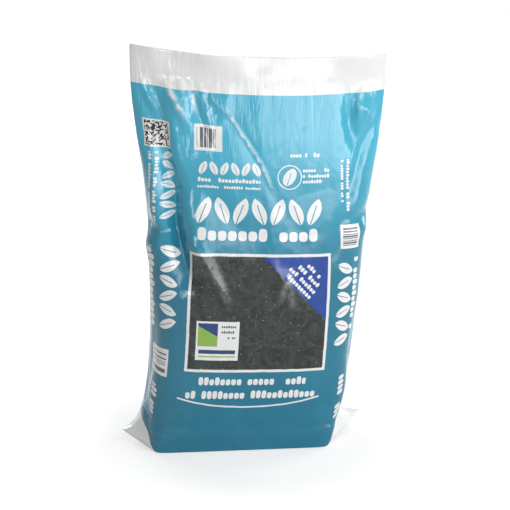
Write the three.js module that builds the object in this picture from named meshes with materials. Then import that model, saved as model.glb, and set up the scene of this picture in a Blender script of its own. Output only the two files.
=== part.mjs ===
// A 20 litre sack of topsoil, full and standing on its folded bottom.
// Millimetres, +Z up, the printed front faces -Y, and the origin is the middle of the base.
//
// The sack is one tube of polythene film, welded flat along its bottom and top edges and filled, so it
// is one closed solid. The mesh is the film itself: its rows run up from the bottom weld to the top edge,
// and its stations run round the tube. "Around" is 0 at the middle of the front, 1 and -1 at the right
// and left side folds and 2 or -2 at the middle of the back.
import * as THREE from "three";

// The film, laid flat
const flatWidth = 412; // across the empty tube, from side fold to side fold
const headerHeight = 40; // loose double film above the top weld
const headerThickness = 1.2; // the two layers of the header, lying together
const weldWidth = 7; // the pressed band of the top weld
const weldPress = 0.25; // how far each layer is pressed in along that band

// The folded bottom: the bottom weld runs under the base, and the rest of it sticks out in two ears
const foldDepth = 126; // depth of the base, which the two halves of the bottom fold fill
const baseWidth = flatWidth - foldDepth;
const sideLift = 52; // height of the bottom fold line at the middle of each side
const sideLiftReach = 210; // height at which the rows are level again
// an ear reaches as far as half the fold, less what its curl takes
const leftEar = { reach: foldDepth / 2 - 13, back: -6, lift: 20 };
const rightEar = { reach: foldDepth / 2 - 3, back: 10, lift: 34 };
const earPinch = 0.16; // how far the upper faces of an ear sink in, as a share of its reach

// The filled body: the tube gets narrower as the fill pushes its front and back apart
const footWidth = flatWidth - 92;
const footDepth = 138;
const footHeight = 50;
const bellyWidth = flatWidth - 85;
const bellyDepth = 150;
const bellyHeight = 200;
const shoulderHeight = 385; // the soil ends about here, and the film starts to close
const weldHeight = 607;

// The top seam isn't straight: its middle hangs forward and low, so it spans less than the flat tube
const seamWidth = flatWidth - 20;
const seamBow = 36;
const seamSag = 8;
const headerWave = 5;

const foldRound = 4; // how round the film is along a crease
// where creases begin above the base edge, and where they end below the top weld
const footGrip = { from: 4, to: 30 };
const weldGrip = { from: 26, to: 3 };

// The fill has slumped, most of it low down: the sack leans to the right and its right side sits lower
const slumpLean = 33;
const slumpTilt = 20;
const slumpReach = 190;

// The printed fields, in film millimetres from the middle of the front and up from the base
const printTop = 590;
const picture = { left: -105, right: 109, bottom: 150, top: 336, border: 4.5 };
const cornerField = { width: 103, height: 105 };
const label = { left: -94, right: -27, bottom: 166, top: 231 };
const filmTeal = 0x2f9db8;
const filmWhite = 0xf2f3f2;
const pictureDark = 0x1d2320;
const cornerBlue = 0x0a55b4;

// Cells of the film grid
const cellsInCorner = 8; // from a base corner round to the side fold, and from the base edge to the weld
const cellsInFront = 17; // from the middle of the front to a base corner
const cellsUpBody = 45;
const cellsUpHeader = 4;

const cellsInQuarter = cellsInFront + cellsInCorner;
const stations = 4 * cellsInQuarter;
const cornerShare = baseWidth / flatWidth;
const topEdge = weldHeight + headerHeight;

const mix = THREE.MathUtils.lerp;
const ease = (value, from, to) => THREE.MathUtils.smoothstep(value, from, to);

// The sections from the base up: width, depth, and how square the corners are (2 is an ellipse).
// The film's girth never changes, so the sack gets wider as its front and back close together.
const widening = (share) => mix(bellyWidth, seamWidth, share);
const closing = (share) => mix(shoulderHeight, weldHeight, share);
const levels = [
  { height: 0, width: baseWidth, depth: foldDepth, square: 14 },
  { height: footHeight, width: footWidth, depth: footDepth, square: 4.4 },
  { height: bellyHeight, width: bellyWidth, depth: bellyDepth, square: 3 },
  { height: shoulderHeight, width: widening(0.24), depth: 0.87 * bellyDepth, square: 2.7 },
  { height: closing(0.3), width: widening(0.44), depth: 0.68 * bellyDepth, square: 2.4 },
  { height: closing(0.6), width: widening(0.8), depth: 0.4 * bellyDepth, square: 2.2 },
  { height: closing(0.85), width: widening(0.97), depth: 0.13 * bellyDepth, square: 2.2 },
  { height: weldHeight, width: seamWidth, depth: headerThickness, square: 3 },
  { height: topEdge, width: seamWidth, depth: headerThickness, square: 3 },
];

// A smooth curve through the levels, with flat slopes where a value stops rising or falling.
function levelValue(name, height) {
  const last = levels.length - 1;
  let i = 0;
  while (i < last - 1 && height > levels[i + 1].height) i++;
  const rise = (j) =>
    (levels[j + 1][name] - levels[j][name]) / (levels[j + 1].height - levels[j].height);
  const slope = (j) => {
    if (j === 0) return rise(0);
    if (j === last) return 0;
    const [before, after] = [rise(j - 1), rise(j)];
    return before * after <= 0 ? 0 : (2 * before * after) / (before + after);
  };
  const span = levels[i + 1].height - levels[i].height;
  const t = THREE.MathUtils.clamp((height - levels[i].height) / span, 0, 1);
  const [start, end] = [levels[i][name], levels[i + 1][name]];
  const bend = t * (1 - t) * span * (slope(i) * (1 - t) - slope(i + 1) * t);
  return mix(start, end, t * t * (3 - 2 * t)) + bend;
}

// One quarter of a section, from the middle of the front to the side fold. The film lies evenly round
// it, so a share of the film is a share of the curve's length.
const quarterSteps = 96;
function quarterAt(height) {
  const halfWidth = levelValue("width", height) / 2;
  const halfDepth = levelValue("depth", height) / 2;
  const power = 2 / levelValue("square", height);
  const points = [];
  for (let i = 0; i <= quarterSteps; i++) {
    const angle = ((i / quarterSteps) * Math.PI) / 2;
    const x = halfWidth * Math.sin(angle) ** power;
    const y = halfDepth * Math.cos(angle) ** power;
    points.push(new THREE.Vector2(x, i === quarterSteps ? 0 : y));
  }
  const lengths = [0];
  for (let i = 1; i <= quarterSteps; i++)
    lengths.push(lengths[i - 1] + points[i].distanceTo(points[i - 1]));
  return { points, lengths };
}

const quarters = new Map();
function sectionPoint(share, height) {
  if (!quarters.has(height)) quarters.set(height, quarterAt(height));
  const { points, lengths } = quarters.get(height);
  const wanted = share * lengths[quarterSteps];
  let i = 1;
  while (i < quarterSteps && lengths[i] < wanted) i++;
  const t = (wanted - lengths[i - 1]) / (lengths[i] - lengths[i - 1]);
  const point = points[i - 1].clone().lerp(points[i], t);
  const along = points[i].clone().sub(points[i - 1]).normalize();
  return { point, normal: new THREE.Vector2(-along.y, along.x) };
}

// Creases of the film. A path is given as [around, share of the weld height] pairs, depth is inward,
// so a crease with a negative depth is a ridge, and width is the reach of its flanks.
const creases = [
  // the deep fold between the left side and the front, and the notch that it pulls into the left edge
  {
    path: [[-0.8, 0.87], [-0.75, 0.78], [-0.69, 0.715],
      [-0.67, 0.62], [-0.61, 0.553], [-0.54, 0.49]],
    depth: 27, width: 17,
  },
  { path: [[-0.85, 0.83], [-0.82, 0.74], [-0.8, 0.65], [-0.785, 0.61]], depth: -7, width: 11 },
  { path: [[-0.7, 0.6], [-0.84, 0.605], [-1.04, 0.61]], depth: 9, width: 12 },
  { path: [[-0.78, 0.56], [-0.96, 0.555], [-1.12, 0.53]], depth: -6, width: 16 },
  { path: [[-0.55, 0.592], [-0.44, 0.556], [-0.305, 0.48], [-0.22, 0.42]], depth: -6, width: 10 },
  // the slanting crease from the top seam to the middle of the front, under its loop
  { path: [[-0.28, 0.934], [-0.14, 0.865], [0.0, 0.785], [0.12, 0.7], [0.3, 0.62]], depth: 8, width: 11 },
  { path: [[-0.4, 0.974], [-0.34, 0.954], [-0.28, 0.934], [-0.26, 0.974]], depth: -5, width: 8 },
  { path: [[-0.5, 0.72], [-0.3, 0.68], [-0.12, 0.6]], depth: 4, width: 22 },
  { path: [[0.1, 0.54], [0.17, 0.48], [0.3, 0.4]], depth: -6, width: 14 },
  // the long fold down the right shoulder, and the nick under it
  {
    path: [[0.97, 0.94], [0.835, 0.849], [0.755, 0.753],
      [0.665, 0.661], [0.58, 0.556]],
    depth: 10, width: 12,
  },
  { path: [[0.8, 0.78], [0.7, 0.68], [0.64, 0.6]], depth: -5, width: 14 },
  { path: [[0.96, 0.665], [0.82, 0.65], [0.66, 0.642]], depth: 7, width: 9 },
  { path: [[0.9, 0.62], [0.76, 0.605]], depth: -5, width: 12 },
  // pleats under the top seam
  { path: [[-0.94, 0.96], [-0.845, 0.892], [-0.735, 0.816]], depth: 8, width: 8 },
  { path: [[-0.84, 0.975], [-0.76, 0.9], [-0.69, 0.84]], depth: 7, width: 8 },
  { path: [[-1.02, 0.93], [-0.93, 0.86], [-0.86, 0.78]], depth: 6, width: 8 },
  { path: [[-0.9, 0.97], [-0.82, 0.92], [-0.74, 0.86]], depth: -5, width: 7 },
  { path: [[-0.71, 0.975], [-0.645, 0.934], [-0.57, 0.895]], depth: -8, width: 9 },
  { path: [[-0.615, 0.984], [-0.56, 0.94]], depth: -6, width: 7 },
  { path: [[-0.545, 0.984], [-0.515, 0.951], [-0.49, 0.915], [-0.41, 0.852]], depth: 8, width: 8 },
  { path: [[0.7, 0.975], [0.71, 0.892], [0.745, 0.842]], depth: 10, width: 9 },
  { path: [[0.77, 0.96], [0.765, 0.89]], depth: -6, width: 8 },
  { path: [[0.79, 0.95], [0.92, 0.898]], depth: -7, width: 11 },
  { path: [[1.01, 0.94], [0.985, 0.872]], depth: 7, width: 8 },
  // slack film just above the base
  { path: [[-0.86, 0.13], [-0.8, 0.06], [-0.72, 0.02]], depth: 6, width: 10 },
  { path: [[-0.74, 0.05], [-0.66, 0.12], [-0.5, 0.16]], depth: 3, width: 16 },
  { path: [[0.86, 0.14], [0.8, 0.07], [0.73, 0.02]], depth: 6, width: 10 },
  { path: [[0.72, 0.05], [0.66, 0.12], [0.5, 0.15]], depth: 3, width: 16 },
  { path: [[-0.95, 0.14], [-0.86, 0.24], [-0.82, 0.36]], depth: 5, width: 16 },
  { path: [[0.94, 0.14], [0.84, 0.26], [0.86, 0.38]], depth: 5, width: 15 },
  // the back, with pleats and folds of the same kind
  { path: [[1.3, 0.95], [1.34, 0.82], [1.3, 0.7]], depth: 8, width: 12 },
  { path: [[1.16, 0.94], [1.2, 0.8]], depth: 6, width: 10 },
  { path: [[1.5, 0.93], [1.62, 0.78], [1.8, 0.66]], depth: 6, width: 13 },
  { path: [[1.28, 0.6], [1.2, 0.48], [1.26, 0.38]], depth: 6, width: 15 },
  { path: [[-1.32, 0.95], [-1.36, 0.8], [-1.3, 0.64]], depth: 9, width: 13 },
  { path: [[-1.16, 0.95], [-1.2, 0.82]], depth: 6, width: 9 },
  { path: [[-1.6, 0.95], [-1.66, 0.84], [-1.82, 0.74]], depth: 5, width: 12 },
  { path: [[-1.3, 0.3], [-1.24, 0.18], [-1.3, 0.06]], depth: 5, width: 14 },
];

// Film millimetres from a point to a crease, and how far along it the nearest point is, from 0 to 1.
function nearest(path, around, height) {
  const half = flatWidth / 2;
  const at = new THREE.Vector2(around * half, height);
  const corners = path.map(([a, up]) => new THREE.Vector2(a * half, up * weldHeight));
  let best = { distance: Infinity, along: 0 };
  for (let i = 1; i < corners.length; i++) {
    const run = corners[i].clone().sub(corners[i - 1]);
    const from = at.clone().sub(corners[i - 1]);
    const t = THREE.MathUtils.clamp(from.dot(run) / run.lengthSq(), 0, 1);
    const distance = from.distanceTo(run.multiplyScalar(t));
    if (distance < best.distance) best = { distance, along: (i - 1 + t) / (corners.length - 1) };
  }
  return best;
}

// How far the film sinks in at a point. A crease is sharp along its line and fades out at its ends,
// and the film stays where it is along the base edge and along the top weld.
function sink(around, height) {
  let depth = 0;
  for (const crease of creases) {
    const { distance, along } = nearest(crease.path, around, height);
    const taper = Math.sin(Math.PI * mix(0.12, 0.88, along)) ** 0.8;
    const off = Math.hypot(distance, foldRound) - foldRound;
    depth += crease.depth * taper * Math.exp(-((off / crease.width) ** 1.3));
  }
  const belowWeld = weldHeight - height;
  const freed = 1 - ease(-belowWeld, -weldGrip.from, -weldGrip.to);
  return depth * ease(height, footGrip.from, footGrip.to) * freed;
}

// Where the slump and the seam's own bends take the film. They bend front and back together.
function drift(around, height) {
  const across = Math.abs(around) > 1 ? Math.sign(around) * 2 - around : around;
  const closed = ease(height, shoulderHeight, weldHeight);
  const loose = ease(height, weldHeight, topEdge);
  const wave = Math.sin(5.2 * across + 0.6) + 0.5 * Math.sin(11 * across + 2);
  const middle = closed * (1 - across * across);
  const slump = 1 - Math.exp(-height / slumpReach);
  return new THREE.Vector3(
    slump * slumpLean,
    -middle * seamBow + loose * headerWave * wave,
    -middle * seamSag - (slump * slumpTilt * (1 + across)) / 2,
  );
}

// A point of the film above the base edge. Height is measured at the front, and the bottom fold line
// lifts the film at the sides.
function skin(around, height) {
  const turn = Math.abs(around);
  const side = around < 0 ? -1 : 1;
  const face = turn <= 1 ? -1 : 1;
  const share = turn <= 1 ? turn : 2 - turn;
  const sideness = THREE.MathUtils.clamp((share - cornerShare) / (1 - cornerShare), 0, 1);
  const settled = THREE.MathUtils.clamp(1 - height / sideLiftReach, 0, 1);
  const level = height + sideLift * Math.sin((sideness * Math.PI) / 2) * settled ** 2;
  const { point, normal } = sectionPoint(share, level);
  const room = Math.min(point.x / (normal.x + 1e-6), point.y / (normal.y + 1e-6));
  const press = Math.abs(level - weldHeight) < weldWidth / 2 + 1 ? weldPress * Math.min(1, point.y) : 0;
  const inward = Math.min(sink(around, level), 0.6 * room) + press;
  const shift = drift(around, height);
  return new THREE.Vector3(
    side * (point.x - normal.x * inward) + shift.x,
    face * (point.y - normal.y * inward) + shift.y,
    level + shift.z,
  );
}

// The folded bottom, at a share of the way from the weld (0) to the base edge (1). Under the base the
// film lies flat. Beyond a base corner it is folded on a slanting line that runs from the corner to
// the tip of the ear: what is nearer the weld is the ear's lower face, the rest its upper face.
function bottom(station, rowShare) {
  const around = aroundAt(station);
  const turn = Math.abs(around);
  const side = around < 0 ? -1 : 1;
  const face = turn <= 1 ? -1 : 1;
  const share = turn <= 1 ? turn : 2 - turn;
  if (share <= cornerShare) {
    const edge = skin(around, 0);
    return new THREE.Vector3(edge.x, edge.y * rowShare, 0);
  }
  const ear = side < 0 ? leftEar : rightEar;
  const tip = new THREE.Vector3(side * (baseWidth / 2 + ear.reach), ear.back, ear.lift);
  const out = (share - cornerShare) / (1 - cornerShare);
  const down = 1 - rowShare;
  const aroundCorner = (s) => side * (face < 0 ? s : 2 - s);
  if (down >= out) {
    const corner = skin(aroundCorner(cornerShare), 0);
    const weld = new THREE.Vector3(corner.x, 0, 0);
    return corner.multiplyScalar(rowShare).addScaledVector(weld, down - out).addScaledVector(tip, out);
  }
  const edgeShare = mix(cornerShare, 1, (out - down) / (1 - down));
  const upper = skin(aroundCorner(edgeShare), 0).multiplyScalar(1 - down).addScaledVector(tip, down);
  const pinch = 4 * earPinch * ear.reach * down * (1 - down) * ((out - down) / (1 - down));
  return upper.addScaledVector(new THREE.Vector3(-side * 0.5, 0, -0.8), pinch);
}

// Stations are evenly spaced along the straight of the base edge, and evenly again round its corner.
function aroundAt(station) {
  const turn = station <= stations / 2 ? station : station - stations;
  const step = (cells) =>
    cells <= cellsInFront
      ? (cornerShare * cells) / cellsInFront
      : mix(cornerShare, 1, (cells - cellsInFront) / cellsInCorner);
  const cells = Math.abs(turn);
  const around = cells <= cellsInQuarter ? step(cells) : 2 - step(2 * cellsInQuarter - cells);
  return turn < 0 ? -around : around;
}

// The rows above the base edge: close together at the foot, then even, then the weld and the header.
const heights = [];
for (let i = 0; i <= cellsUpBody; i++) heights.push(weldHeight * (i / cellsUpBody) ** 1.12);
heights.push(weldHeight + weldWidth / 2, weldHeight + weldWidth);
for (let i = 1; i <= cellsUpHeader; i++)
  heights.push(mix(weldHeight + weldWidth, topEdge, i / cellsUpHeader));

const points = [];
const filmPlaces = []; // where each point is on the film: around, and millimetres up from the base edge
const rows = [];
const place = (point, around, up) => {
  filmPlaces.push(new THREE.Vector2(around, up));
  return points.push(point) - 1;
};

// The bottom weld joins the front to the back, so its row has one point for each pair of stations.
const mirrored = (station) => (stations - station + 2 * cellsInQuarter) % stations;
const onFront = (station) => station <= cellsInQuarter || station >= 3 * cellsInQuarter;
const weldRow = new Array(stations);
for (let k = 0; k < stations; k++)
  if (onFront(k)) weldRow[k] = place(bottom(k, 0), aroundAt(k), -foldDepth / 2);
for (let k = 0; k < stations; k++) if (!onFront(k)) weldRow[k] = weldRow[mirrored(k)];
rows.push(weldRow);

for (let j = 1; j < cellsInCorner; j++) {
  const rowShare = j / cellsInCorner;
  const row = [];
  for (let k = 0; k < stations; k++)
    row.push(place(bottom(k, rowShare), aroundAt(k), (-foldDepth / 2) * (1 - rowShare)));
  rows.push(row);
}
for (const height of heights) {
  const row = [];
  for (let k = 0; k < stations; k++) row.push(place(skin(aroundAt(k), height), aroundAt(k), height));
  rows.push(row);
}

// A cell of the folded bottom is cut along the slant that the ear folds follow in its quarter. A cell
// above it is cut on the diagonal that lies nearer to the film, so that the creases run smoothly.
function cutOnSlant(j, k, [a, b, c, d]) {
  if (j <= cellsInCorner) return Math.floor(k / cellsInQuarter) % 2 === 0;
  const [low, high] = [heights[j - cellsInCorner - 1], heights[j - cellsInCorner]];
  const film = skin(aroundAt(k + 0.5), (low + high) / 2);
  const missed = (from, to) => points[from].clone().lerp(points[to], 0.5).distanceTo(film);
  return missed(b, d) < missed(a, c);
}

const triangles = [];
const addTriangle = (a, b, c) => {
  if (a !== b && b !== c && c !== a) triangles.push([a, b, c]);
};
const addCell = (a, b, c, d, slant) => {
  addTriangle(a, b, slant ? d : c);
  addTriangle(slant ? b : a, c, d);
};
for (let j = 1; j < rows.length; j++)
  for (let k = 0; k < stations; k++) {
    const next = (k + 1) % stations;
    const corners = [rows[j - 1][k], rows[j - 1][next], rows[j][next], rows[j][k]];
    addCell(...corners, cutOnSlant(j, k, corners));
  }
const topRow = rows[rows.length - 1];
for (let k = 3 * cellsInQuarter; k < 5 * cellsInQuarter; k++) {
  const [left, right] = [k % stations, (k + 1) % stations];
  addCell(topRow[left], topRow[right], topRow[mirrored(right)], topRow[mirrored(left)], false);
}

// The colour of the film at a place on it.
function printColour(around, up) {
  if (up < 0 || up > printTop) return filmWhite;
  const x = (around * flatWidth) / 2;
  const inField = ({ left, right, bottom, top }, margin) =>
    x > left - margin && x < right + margin && up > bottom - margin && up < top + margin;
  if (!inField(picture, picture.border)) return filmTeal;
  if (inField(label, 0) || !inField(picture, 0)) return filmWhite;
  const fromCorner = (picture.right - x) / cornerField.width + (picture.top - up) / cornerField.height;
  return fromCorner < 1 ? cornerBlue : pictureDark;
}

const positions = [];
const colours = [];
for (const corners of triangles) {
  const centre = new THREE.Vector2();
  for (const c of corners) centre.addScaledVector(filmPlaces[c], 1 / 3);
  const colour = new THREE.Color(printColour(centre.x, centre.y));
  for (const c of corners) {
    positions.push(...points[c].toArray());
    colours.push(colour.r, colour.g, colour.b);
  }
}
const geometry = new THREE.BufferGeometry();
geometry.setAttribute("position", new THREE.Float32BufferAttribute(positions, 3));
geometry.setAttribute("color", new THREE.Float32BufferAttribute(colours, 3));
geometry.computeVertexNormals();

// The origin is the middle of the base, under the middle of the whole sack.
geometry.computeBoundingBox();
const middle = geometry.boundingBox.getCenter(new THREE.Vector3());
geometry.translate(-middle.x, -middle.y, -geometry.boundingBox.min.z);

const film = new THREE.MeshStandardMaterial({ vertexColors: true, roughness: 0.28, metalness: 0 });
const sack = new THREE.Mesh(geometry, film);
sack.name = "sack";

const bagOfTopsoil = new THREE.Group();
bagOfTopsoil.add(sack);
export default bagOfTopsoil;
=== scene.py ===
import math
import bpy
import numpy as np
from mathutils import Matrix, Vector


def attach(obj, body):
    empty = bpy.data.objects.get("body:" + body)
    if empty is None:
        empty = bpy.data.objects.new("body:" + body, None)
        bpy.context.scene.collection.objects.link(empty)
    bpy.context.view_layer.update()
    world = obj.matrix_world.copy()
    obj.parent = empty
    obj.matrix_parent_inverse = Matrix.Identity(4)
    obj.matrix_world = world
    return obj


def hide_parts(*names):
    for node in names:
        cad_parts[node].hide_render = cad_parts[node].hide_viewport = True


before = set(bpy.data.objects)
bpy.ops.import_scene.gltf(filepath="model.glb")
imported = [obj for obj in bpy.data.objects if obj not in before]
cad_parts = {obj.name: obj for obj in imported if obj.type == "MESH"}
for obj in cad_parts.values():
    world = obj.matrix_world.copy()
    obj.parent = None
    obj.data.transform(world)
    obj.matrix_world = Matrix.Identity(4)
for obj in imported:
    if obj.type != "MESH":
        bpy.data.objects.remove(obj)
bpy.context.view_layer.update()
mm = 0.001


# Small helpers

def linear(hexColour):
    channels = [int(hexColour[i:i + 2], 16) / 255 for i in (1, 3, 5)]
    return [c / 12.92 if c <= 0.04045 else ((c + 0.055) / 1.055) ** 2.4 for c in channels] + [1.0]


def addNode(tree, kind, settings=None, links=None):
    node = tree.nodes.new(kind)
    for name, value in (settings or {}).items():
        if isinstance(name, int) or name in node.inputs.keys():
            node.inputs[name].default_value = value
        else:
            setattr(node, name, value)
    for name, source in (links or {}).items():
        tree.links.new(source, node.inputs[name])
    return node


def smoothStep(value, start, end):
    t = np.clip((value - start) / (end - start), 0, 1)
    return t * t * (3 - 2 * t)


# The camera: at about chest height, a little to the left of the sack

camera = {
    "azimuth": -5.0,
    "elevation": 18.0,
    "distance": 2.3,
    "lens": 102.9, "sensor": 36.0,
    "aim": (0.0086, 0.0, 0.3092),
}


def makeCamera():
    azimuth, elevation = math.radians(camera["azimuth"]), math.radians(camera["elevation"])
    back = Vector((math.sin(azimuth) * math.cos(elevation),
                   -math.cos(azimuth) * math.cos(elevation),
                   math.sin(elevation)))
    bpy.ops.object.select_all(action="DESELECT")
    aim = Vector(camera["aim"])
    bpy.ops.object.camera_add(location=aim + back * camera["distance"])
    made = bpy.context.object
    made.name = "photo_camera"
    made.rotation_euler = back.to_track_quat("Z", "Y").to_euler()
    made.data.lens = camera["lens"]
    made.data.sensor_width = camera["sensor"]
    bpy.context.scene.camera = made


makeCamera()
print("camera ready")


# The film of the sack. Everything is reached through the film's own flat coordinates, in millimetres:
# around is 0 at the middle of the front, 1 and -1 at the side folds and 2 or -2 behind,
# and height runs up from the edge of the base, so the folded bottom is below 0.

sack = {
    "flatWidth": 412.0,       # the empty tube, from side fold to side fold
    "baseWidth": 286.0,       # part of the bottom weld that lies under the sack
    "seamWidth": 392.0,       # across the bowed top seam
    "headerHeight": 40.0,
    "headerThickness": 1.2,
    "footHeight": 50.0, "footWidth": 320.0, "footDepth": 138.0,
    "bellyHeight": 200.0, "bellyWidth": 327.0, "bellyDepth": 150.0,
    "shoulderHeight": 385.0,
    "weldHeight": 607.0,
    "weldWidth": 7.0,
    "sideLift": 52.0, "sideLiftReach": 210.0,
    "leftEar": {"reach": 50.0, "back": -6.0, "lift": 20.0},
    "rightEar": {"reach": 60.0, "back": 10.0, "lift": 34.0},
    "earPinch": 0.16,         # how far an ear's upper faces sink in, as a share of its reach
    "foldRound": 2.2,         # how round the film is along a crease
    "footGrip": (4.0, 30.0),  # creases begin this far above the base edge
    "weldGrip": (15.0, 1.0),  # and end this far below the top weld
    "mostSunk": 0.6,          # share of the room behind the film that a crease may take
    "taper": (0.12, 0.88, 0.8),  # a crease's ends as shares of a half wave, and how full that wave is
    "flank": 1.3,             # how soon a crease's flanks level out
    "seamBow": 36.0, "seamSag": 8.0,
    "headerWave": 5.0,
    "waves": ((5.2, 0.6, 1.0), (11.0, 2.0, 0.5)),  # the header's: turns across, start, share of headerWave
    "slumpLean": 33.0, "slumpTilt": 20.0, "slumpReach": 190.0,
    "cellsInCorner": 12,
    "cellsInFront": 27,
    "cellsUpBody": 118,
    "cellsUpHeader": 9,
    "rowSpread": 1.12,        # above 1, the rows lie closer low down
}
foldDepth = sack["flatWidth"] - sack["baseWidth"]
cornerShare = sack["baseWidth"] / sack["flatWidth"]
topEdge = sack["weldHeight"] + sack["headerHeight"]
halfFlat = sack["flatWidth"] / 2


def mix(a, b, t):
    return a + (b - a) * t


def widening(share):
    # the width at a share of the way from the belly's to the seam's
    return mix(sack["bellyWidth"], sack["seamWidth"], share)


def closing(share):
    # the height at a share of the way from the shoulders to the top weld
    return mix(sack["shoulderHeight"], sack["weldHeight"], share)


# height, width, depth and how square the section's corners are (2 is an ellipse)
levels = np.array([
    (0, sack["baseWidth"], foldDepth, 14),
    (sack["footHeight"], sack["footWidth"], sack["footDepth"], 4.4),
    (sack["bellyHeight"], sack["bellyWidth"], sack["bellyDepth"], 3),
    (sack["shoulderHeight"], widening(0.24), 0.87 * sack["bellyDepth"], 2.7),
    (closing(0.3), widening(0.44), 0.68 * sack["bellyDepth"], 2.4),
    (closing(0.6), widening(0.8), 0.4 * sack["bellyDepth"], 2.2),
    (closing(0.85), widening(0.97), 0.13 * sack["bellyDepth"], 2.2),
    (sack["weldHeight"], sack["seamWidth"], sack["headerThickness"], 3),
    (topEdge, sack["seamWidth"], sack["headerThickness"], 3),
])


def levelValue(column, height):
    at, value = levels[:, 0], levels[:, column]
    rise = np.diff(value) / np.diff(at)
    slope = np.zeros(len(at))
    slope[0] = rise[0]
    for j in range(1, len(at) - 1):
        if rise[j - 1] * rise[j] > 0:
            slope[j] = 2 * rise[j - 1] * rise[j] / (rise[j - 1] + rise[j])
    i = np.clip(np.searchsorted(at, height, side="right") - 1, 0, len(at) - 2)
    span = at[i + 1] - at[i]
    t = np.clip((height - at[i]) / span, 0, 1)
    bend = t * (1 - t) * span * (slope[i] * (1 - t) - slope[i + 1] * t)
    return mix(value[i], value[i + 1], t * t * (3 - 2 * t)) + bend


def sectionPoint(share, height):
    # the point and outward normal at a share of a quarter's length, for arrays of both
    steps = 96
    angle = np.linspace(0, math.pi / 2, steps + 1)
    halfWidth = levelValue(1, height)[:, None] / 2
    halfDepth = levelValue(2, height)[:, None] / 2
    power = 2 / levelValue(3, height)[:, None]
    x = halfWidth * np.sin(angle) ** power
    y = halfDepth * np.abs(np.cos(angle)) ** power
    y[:, -1] = 0
    piece = np.hypot(np.diff(x, axis=1), np.diff(y, axis=1))
    length = np.concatenate([np.zeros((len(share), 1)), np.cumsum(piece, axis=1)], axis=1)
    wanted = share * length[:, -1]
    i = np.clip((length < wanted[:, None]).sum(axis=1), 1, steps)
    n = np.arange(len(share))
    t = (wanted - length[n, i - 1]) / (length[n, i] - length[n, i - 1])
    px, py = mix(x[n, i - 1], x[n, i], t), mix(y[n, i - 1], y[n, i], t)
    ax, ay = x[n, i] - x[n, i - 1], y[n, i] - y[n, i - 1]
    run = np.hypot(ax, ay)
    return px, py, -ay / run, ax / run


# Creases as (path of (around, share of the weld height), depth inward, reach of the flanks)
creases = [
    # the deep fold between the left side and the front, and the notch that it pulls into the left edge
    ([(-0.8, 0.87), (-0.75, 0.78), (-0.69, 0.715), (-0.67, 0.62), (-0.61, 0.553), (-0.54, 0.49)], 30, 14),
    ([(-0.85, 0.83), (-0.82, 0.74), (-0.8, 0.65), (-0.785, 0.61)], -7, 11),
    ([(-0.7, 0.6), (-0.84, 0.605), (-1.04, 0.61)], 9, 12),
    ([(-0.78, 0.56), (-0.96, 0.555), (-1.12, 0.53)], -6, 16),
    ([(-0.55, 0.592), (-0.44, 0.556), (-0.305, 0.48), (-0.22, 0.42)], -8, 8),
    # the slanting crease from the top seam to the middle of the front, under its loop
    ([(-0.28, 0.934), (-0.14, 0.865), (0.0, 0.785), (0.12, 0.7), (0.3, 0.62)], 2, 8),
    ([(-0.4, 0.974), (-0.34, 0.954), (-0.28, 0.934), (-0.26, 0.974)], -5, 8),
    ([(-0.5, 0.72), (-0.3, 0.68), (-0.12, 0.6)], 4, 22),
    ([(0.1, 0.54), (0.18, 0.48), (0.14, 0.42)], -5, 8),
    ([(0.22, 0.5), (0.3, 0.39)], -5, 8),
    # the long fold down the right shoulder, and the nick under it
    ([(0.97, 0.94), (0.835, 0.849), (0.755, 0.753), (0.665, 0.661), (0.58, 0.556)], 6, 7),
    ([(0.8, 0.78), (0.7, 0.68), (0.64, 0.6)], -5, 14),
    ([(0.96, 0.665), (0.82, 0.65), (0.66, 0.642)], 7, 9),
    ([(0.9, 0.62), (0.76, 0.605)], -5, 12),
    # pleats under the top seam
    ([(-0.94, 0.96), (-0.845, 0.892), (-0.735, 0.816)], 8, 8),
    ([(-0.84, 0.975), (-0.76, 0.9), (-0.69, 0.84)], 7, 8),
    ([(-1.02, 0.93), (-0.93, 0.86), (-0.86, 0.78)], 6, 8),
    ([(-0.9, 0.97), (-0.82, 0.92), (-0.74, 0.86)], -5, 7),
    ([(-0.71, 0.975), (-0.645, 0.934), (-0.57, 0.895)], -8, 9),
    ([(-0.615, 0.984), (-0.56, 0.94)], -6, 7),
    ([(-0.545, 0.984), (-0.515, 0.951), (-0.49, 0.915), (-0.41, 0.852)], 8, 8),
    ([(0.7, 0.975), (0.71, 0.892), (0.745, 0.842)], 10, 9),
    ([(0.77, 0.96), (0.765, 0.89)], -6, 8),
    ([(0.79, 0.95), (0.92, 0.898)], -7, 11),
    ([(1.01, 0.94), (0.985, 0.872)], 7, 8),
    # slack film just above the base
    ([(-0.86, 0.13), (-0.8, 0.06), (-0.72, 0.02)], 6, 10),
    ([(-0.74, 0.05), (-0.66, 0.12), (-0.5, 0.16)], 3, 16),
    ([(0.86, 0.14), (0.8, 0.07), (0.73, 0.02)], 6, 10),
    ([(0.72, 0.05), (0.66, 0.12), (0.5, 0.15)], 3, 16),
    ([(-0.95, 0.14), (-0.86, 0.24), (-0.82, 0.36)], 5, 16),
    ([(0.94, 0.14), (0.84, 0.26), (0.86, 0.38)], 5, 15),
    # the back
    ([(1.3, 0.95), (1.34, 0.82), (1.3, 0.7)], 8, 12),
    ([(1.16, 0.94), (1.2, 0.8)], 6, 10),
    ([(1.5, 0.93), (1.62, 0.78), (1.8, 0.66)], 6, 13),
    ([(1.28, 0.6), (1.2, 0.48), (1.26, 0.38)], 6, 15),
    ([(-1.32, 0.95), (-1.36, 0.8), (-1.3, 0.64)], 9, 13),
    ([(-1.16, 0.95), (-1.2, 0.82)], 6, 9),
    ([(-1.6, 0.95), (-1.66, 0.84), (-1.82, 0.74)], 5, 12),
    ([(-1.3, 0.3), (-1.24, 0.18), (-1.3, 0.06)], 5, 14),
]


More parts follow.
